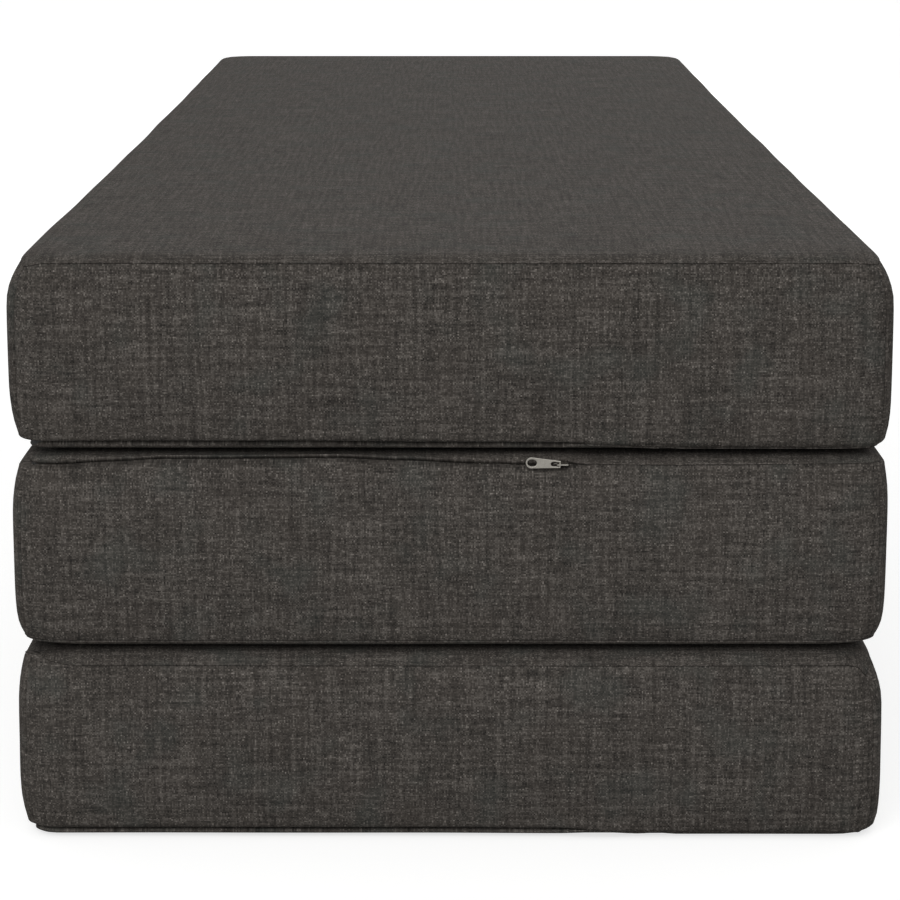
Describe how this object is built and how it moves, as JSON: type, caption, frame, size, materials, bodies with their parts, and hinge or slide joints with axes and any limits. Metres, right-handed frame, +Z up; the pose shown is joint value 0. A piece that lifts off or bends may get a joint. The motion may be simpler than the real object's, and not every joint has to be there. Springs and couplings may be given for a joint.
{
  "type": "folding sofa bed",
  "caption": "Folding sofa bed of zipped foam panels in dark woven cloth, joined by cloth hinges so that they stack as a seat, fold up as a back or open flat as a bed.",
  "frame": {"origin": "on the floor, under the middle of the folded stack", "axes": "+X to the right as one faces the end that shows the zip pull, +Y along the panels towards the far end, +Z up"},
  "size_m": [0.6684, 2.008, 0.4568],
  "materials": {
    "cover_cloth": "matte",
    "base_foam": "matte",
    "comfort_foam": "matte",
    "zip_tape": "matte",
    "zip_coil": "satin",
    "zip_metal": "satin"
  },
  "bodies": {
    "bottom_panel": {"bottom_base_foam": "base_foam", "bottom_comfort_foam": "comfort_foam", "bottom_underside_cover": "cover_cloth", "bottom_sleeping_cover": "cover_cloth", "bottom_front_boxing": "cover_cloth", "bottom_right_boxing": "cover_cloth", "bottom_rear_boxing": "cover_cloth", "bottom_left_boxing": "cover_cloth", "bottom_left_hinge_strip": "cover_cloth", "bottom_zip_chain": "zip_coil", "bottom_zip_wall_tape": "zip_tape", "bottom_zip_underside_tape": "zip_tape", "bottom_zip_front_stop": "zip_metal", "bottom_zip_rear_stop": "zip_metal"},
    "middle_panel": {"middle_base_foam": "base_foam", "middle_comfort_foam": "comfort_foam", "middle_underside_cover": "cover_cloth", "middle_sleeping_cover": "cover_cloth", "middle_front_boxing": "cover_cloth", "middle_right_boxing": "cover_cloth", "middle_rear_boxing": "cover_cloth", "middle_left_boxing": "cover_cloth", "middle_left_hinge_strip": "cover_cloth", "middle_right_hinge_strip": "cover_cloth", "middle_zip_chain": "zip_coil", "middle_zip_wall_tape": "zip_tape", "middle_zip_underside_tape": "zip_tape", "middle_zip_front_stop": "zip_metal", "middle_zip_rear_stop": "zip_metal"},
    "top_panel": {"top_base_foam": "base_foam", "top_comfort_foam": "comfort_foam", "top_underside_cover": "cover_cloth", "top_sleeping_cover": "cover_cloth", "top_front_boxing": "cover_cloth", "top_right_boxing": "cover_cloth", "top_rear_boxing": "cover_cloth", "top_left_boxing": "cover_cloth", "top_right_hinge_strip": "cover_cloth", "top_zip_chain": "zip_coil", "top_zip_wall_tape": "zip_tape", "top_zip_underside_tape": "zip_tape", "top_zip_front_stop": "zip_metal", "top_zip_rear_stop": "zip_metal"},
    "bottom_slider": {"bottom_zip_slider": "zip_metal"},
    "bottom_pull": {"bottom_zip_pull": "zip_metal"},
    "middle_slider": {"middle_zip_slider": "zip_metal"},
    "middle_pull": {"middle_zip_pull": "zip_metal"},
    "top_slider": {"top_zip_slider": "zip_metal"},
    "top_pull": {"top_zip_pull": "zip_metal"}
  },
  "joints": [
    {"name": "middle_fold", "type": "hinge", "parent": "bottom_panel", "child": "middle_panel", "pos_m": [-0.3344, 0, 0.1522], "axis": [0, -1, 0], "range_deg": [0, 180]},
    {"name": "top_fold", "type": "hinge", "parent": "middle_panel", "child": "top_panel", "pos_m": [0.3344, 0, 0.3046], "axis": [0, 1, 0], "range_deg": [0, 180]},
    {"name": "bottom_zip_slide", "type": "slide", "parent": "bottom_panel", "child": "bottom_slider", "axis": [-1, 0, 0], "range_m": [0, 0.385]},
    {"name": "bottom_pull_turn", "type": "hinge", "parent": "bottom_slider", "child": "bottom_pull", "pos_m": [0.0827, 0.9987, 0.0074], "axis": [0, 0, -1], "range_deg": [0, 165]},
    {"name": "middle_zip_slide", "type": "slide", "parent": "middle_panel", "child": "middle_slider", "axis": [-1, 0, 0], "range_m": [0, 0.385]},
    {"name": "middle_pull_turn", "type": "hinge", "parent": "middle_slider", "child": "middle_pull", "pos_m": [0.0827, -0.9987, 0.297], "axis": [0, 0, 1], "range_deg": [0, 165]},
    {"name": "top_zip_slide", "type": "slide", "parent": "top_panel", "child": "top_slider", "axis": [-1, 0, 0], "range_m": [0, 0.385]},
    {"name": "top_pull_turn", "type": "hinge", "parent": "top_slider", "child": "top_pull", "pos_m": [0.0827, 0.9987, 0.3122], "axis": [0, 0, -1], "range_deg": [0, 165]}
  ]
}
